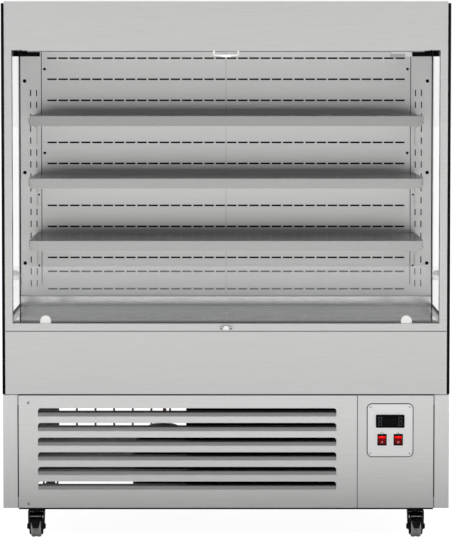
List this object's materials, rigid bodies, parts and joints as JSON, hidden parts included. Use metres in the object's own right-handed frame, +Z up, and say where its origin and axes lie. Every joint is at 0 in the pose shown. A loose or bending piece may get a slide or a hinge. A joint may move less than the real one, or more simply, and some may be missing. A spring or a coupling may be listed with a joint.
{
  "type": "refrigerated display case",
  "caption": "Open-front stainless refrigerated display case with glass sides, lift-off shelves over a slotted back panel, a night blind and a louvred machine base on casters.",
  "frame": {"origin": "on the floor under the middle of the whole box", "axes": "+X across to the right seen from the front, +Y from the front into the case, +Z up"},
  "size_m": [1.2, 0.7, 1.445],
  "materials": {
    "stainless": "brushed stainless sheet",
    "control_plate_steel": "satin stainless plate",
    "liner_stainless": "bright stainless sheet",
    "insulated_body": "foam core in brushed stainless skins",
    "galvanised": "galvanised steel",
    "fins": "pressed fins",
    "glass": "clear float glass",
    "black_edge": "black edge profile",
    "white_plastic": "moulded white plastic",
    "black_plastic": "moulded black plastic",
    "red_plastic": "translucent red rocker",
    "zinc": "bright zinc plate",
    "brake_steel": "pressed steel pedal",
    "tyre": "grey rubber tread",
    "compressor_black": "black enamelled steel shell",
    "copper": "drawn copper tube",
    "blind_aluminium": "satin anodised",
    "blind_fabric": "silver grey woven blind"
  },
  "bodies": {
    "cabinet": {"base_side_panels": "stainless", "grille_panel": "stainless", "control_fascia": "stainless", "front_panel": "stainless", "front_ledge": "stainless", "front_posts": "stainless", "canopy_fascia": "stainless", "control_plate": "control_plate_steel", "back_panel": "liner_stainless", "slotted_uprights": "liner_stainless", "deck_trays": "liner_stainless", "shelf_brackets": "liner_stainless", "evaporator_fan_plate": "liner_stainless", "bottom_tub": "insulated_body", "rear_shell": "insulated_body", "roof_panel": "insulated_body", "base_frame": "galvanised", "rear_guard": "galvanised", "condenser_fan_shroud": "galvanised", "evaporator_coil": "fins", "condenser_coil": "fins", "side_glass": "glass", "front_glass": "glass", "glass_trims": "black_edge", "blind_brackets": "black_edge", "blind_catch": "white_plastic", "glass_clips": "white_plastic", "led_lamp": "white_plastic", "controller_body": "black_plastic", "switch_bezels": "black_plastic", "caster_plates": "zinc", "screws": "zinc", "compressor": "compressor_black", "pipework": "copper"},
    "blind_rail": {"blind_bar": "blind_aluminium", "blind_handle": "white_plastic", "blind_cloth": "blind_fabric"},
    "blind_roller": {"blind_roller": "blind_fabric"},
    "shelf_top": {"shelf_top": "liner_stainless"},
    "shelf_middle": {"shelf_middle": "liner_stainless"},
    "shelf_bottom": {"shelf_bottom": "liner_stainless"},
    "condenser_fan": {"condenser_fan": "black_plastic"},
    "evaporator_fan_left": {"evaporator_fan_left": "black_plastic"},
    "evaporator_fan_right": {"evaporator_fan_right": "black_plastic"},
    "left_rocker": {"left_rocker": "red_plastic"},
    "right_rocker": {"right_rocker": "red_plastic"},
    "upper_left_key": {"upper_left_key": "black_plastic"},
    "upper_right_key": {"upper_right_key": "black_plastic"},
    "lower_left_key": {"lower_left_key": "black_plastic"},
    "lower_right_key": {"lower_right_key": "black_plastic"},
    "front_left_fork": {"front_left_fork": "zinc"},
    "front_left_wheel": {"front_left_wheel": "tyre"},
    "front_left_brake": {"front_left_brake": "brake_steel"},
    "front_right_fork": {"front_right_fork": "zinc"},
    "front_right_wheel": {"front_right_wheel": "tyre"},
    "front_right_brake": {"front_right_brake": "brake_steel"},
    "rear_left_fork": {"rear_left_fork": "zinc"},
    "rear_left_wheel": {"rear_left_wheel": "tyre"},
    "rear_right_fork": {"rear_right_fork": "zinc"},
    "rear_right_wheel": {"rear_right_wheel": "tyre"}
  },
  "joints": [
    {"name": "blind_slide", "type": "slide", "parent": "cabinet", "child": "blind_rail", "axis": [0, 0, -1], "range_m": [0, 0.71], "stiffness_N_per_m": 12, "springref_m": -0.9, "deforming": ["blind_cloth"]},
    {"name": "roller_spin", "type": "hinge", "parent": "cabinet", "child": "blind_roller", "pos_m": [0, -0.3087, 1.372], "axis": [1, 0, 0], "range_deg": [0, 1860]},
    {"name": "top_shelf_lift", "type": "slide", "parent": "cabinet", "child": "shelf_top", "axis": [0, 0, 1], "range_m": [0, 0.04]},
    {"name": "middle_shelf_lift", "type": "slide", "parent": "cabinet", "child": "shelf_middle", "axis": [0, 0, 1], "range_m": [0, 0.04]},
    {"name": "bottom_shelf_lift", "type": "slide", "parent": "cabinet", "child": "shelf_bottom", "axis": [0, 0, 1], "range_m": [0, 0.04]},
    {"name": "condenser_fan_spin", "type": "hinge", "parent": "cabinet", "child": "condenser_fan", "pos_m": [0.102, -0.206, 0.218], "axis": [0, 1, 0], "continuous": true},
    {"name": "evaporator_fan_left_spin", "type": "hinge", "parent": "cabinet", "child": "evaporator_fan_left", "pos_m": [-0.25, -0.058, 0.508], "axis": [0, 1, 0], "continuous": true},
    {"name": "evaporator_fan_right_spin", "type": "hinge", "parent": "cabinet", "child": "evaporator_fan_right", "pos_m": [0.25, -0.058, 0.508], "axis": [0, 1, 0], "continuous": true},
    {"name": "left_rocker_tilt", "type": "hinge", "parent": "cabinet", "child": "left_rocker", "pos_m": [0.41975, -0.331, 0.2686], "axis": [1, 0, 0], "range_deg": [0, 16]},
    {"name": "right_rocker_tilt", "type": "hinge", "parent": "cabinet", "child": "right_rocker", "pos_m": [0.46325, -0.331, 0.2686], "axis": [1, 0, 0], "range_deg": [0, 16]},
    {"name": "upper_left_key_press", "type": "slide", "parent": "cabinet", "child": "upper_left_key", "axis": [0, 1, 0], "range_m": [0, 0.0006], "stiffness_N_per_m": 100, "springref_m": -0.005},
    {"name": "upper_right_key_press", "type": "slide", "parent": "cabinet", "child": "upper_right_key", "axis": [0, 1, 0], "range_m": [0, 0.0006], "stiffness_N_per_m": 100, "springref_m": -0.005},
    {"name": "lower_left_key_press", "type": "slide", "parent": "cabinet", "child": "lower_left_key", "axis": [0, 1, 0], "range_m": [0, 0.0006], "stiffness_N_per_m": 100, "springref_m": -0.005},
    {"name": "lower_right_key_press", "type": "slide", "parent": "cabinet", "child": "lower_right_key", "axis": [0, 1, 0], "range_m": [0, 0.0006], "stiffness_N_per_m": 100, "springref_m": -0.005},
    {"name": "front_left_swivel", "type": "hinge", "parent": "cabinet", "child": "front_left_fork", "pos_m": [-0.513, -0.282, 0.07], "axis": [0, 0, 1], "continuous": true},
    {"name": "front_left_roll", "type": "hinge", "parent": "front_left_fork", "child": "front_left_wheel", "pos_m": [-0.513, -0.302, 0.029], "axis": [1, 0, 0], "continuous": true},
    {"name": "front_left_brake_lift", "type": "hinge", "parent": "front_left_fork", "child": "front_left_brake", "pos_m": [-0.513, -0.308, 0.064], "axis": [-1, 0, 0], "range_deg": [0, 12]},
    {"name": "front_right_swivel", "type": "hinge", "parent": "cabinet", "child": "front_right_fork", "pos_m": [0.513, -0.282, 0.07], "axis": [0, 0, 1], "continuous": true},
    {"name": "front_right_roll", "type": "hinge", "parent": "front_right_fork", "child": "front_right_wheel", "pos_m": [0.513, -0.302, 0.029], "axis": [1, 0, 0], "continuous": true},
    {"name": "front_right_brake_lift", "type": "hinge", "parent": "front_right_fork", "child": "front_right_brake", "pos_m": [0.513, -0.308, 0.064], "axis": [-1, 0, 0], "range_deg": [0, 12]},
    {"name": "rear_left_swivel", "type": "hinge", "parent": "cabinet", "child": "rear_left_fork", "pos_m": [-0.513, 0.29, 0.07], "axis": [0, 0, 1], "continuous": true},
    {"name": "rear_left_roll", "type": "hinge", "parent": "rear_left_fork", "child": "rear_left_wheel", "pos_m": [-0.513, 0.27, 0.029], "axis": [1, 0, 0], "continuous": true},
    {"name": "rear_right_swivel", "type": "hinge", "parent": "cabinet", "child": "rear_right_fork", "pos_m": [0.513, 0.29, 0.07], "axis": [0, 0, 1], "continuous": true},
    {"name": "rear_right_roll", "type": "hinge", "parent": "rear_right_fork", "child": "rear_right_wheel", "pos_m": [0.513, 0.27, 0.029], "axis": [1, 0, 0], "continuous": true}
  ],
  "couplings": [
    {"joint": "roller_spin", "follows": "blind_slide", "rad_per_m": 45.455}
  ]
}
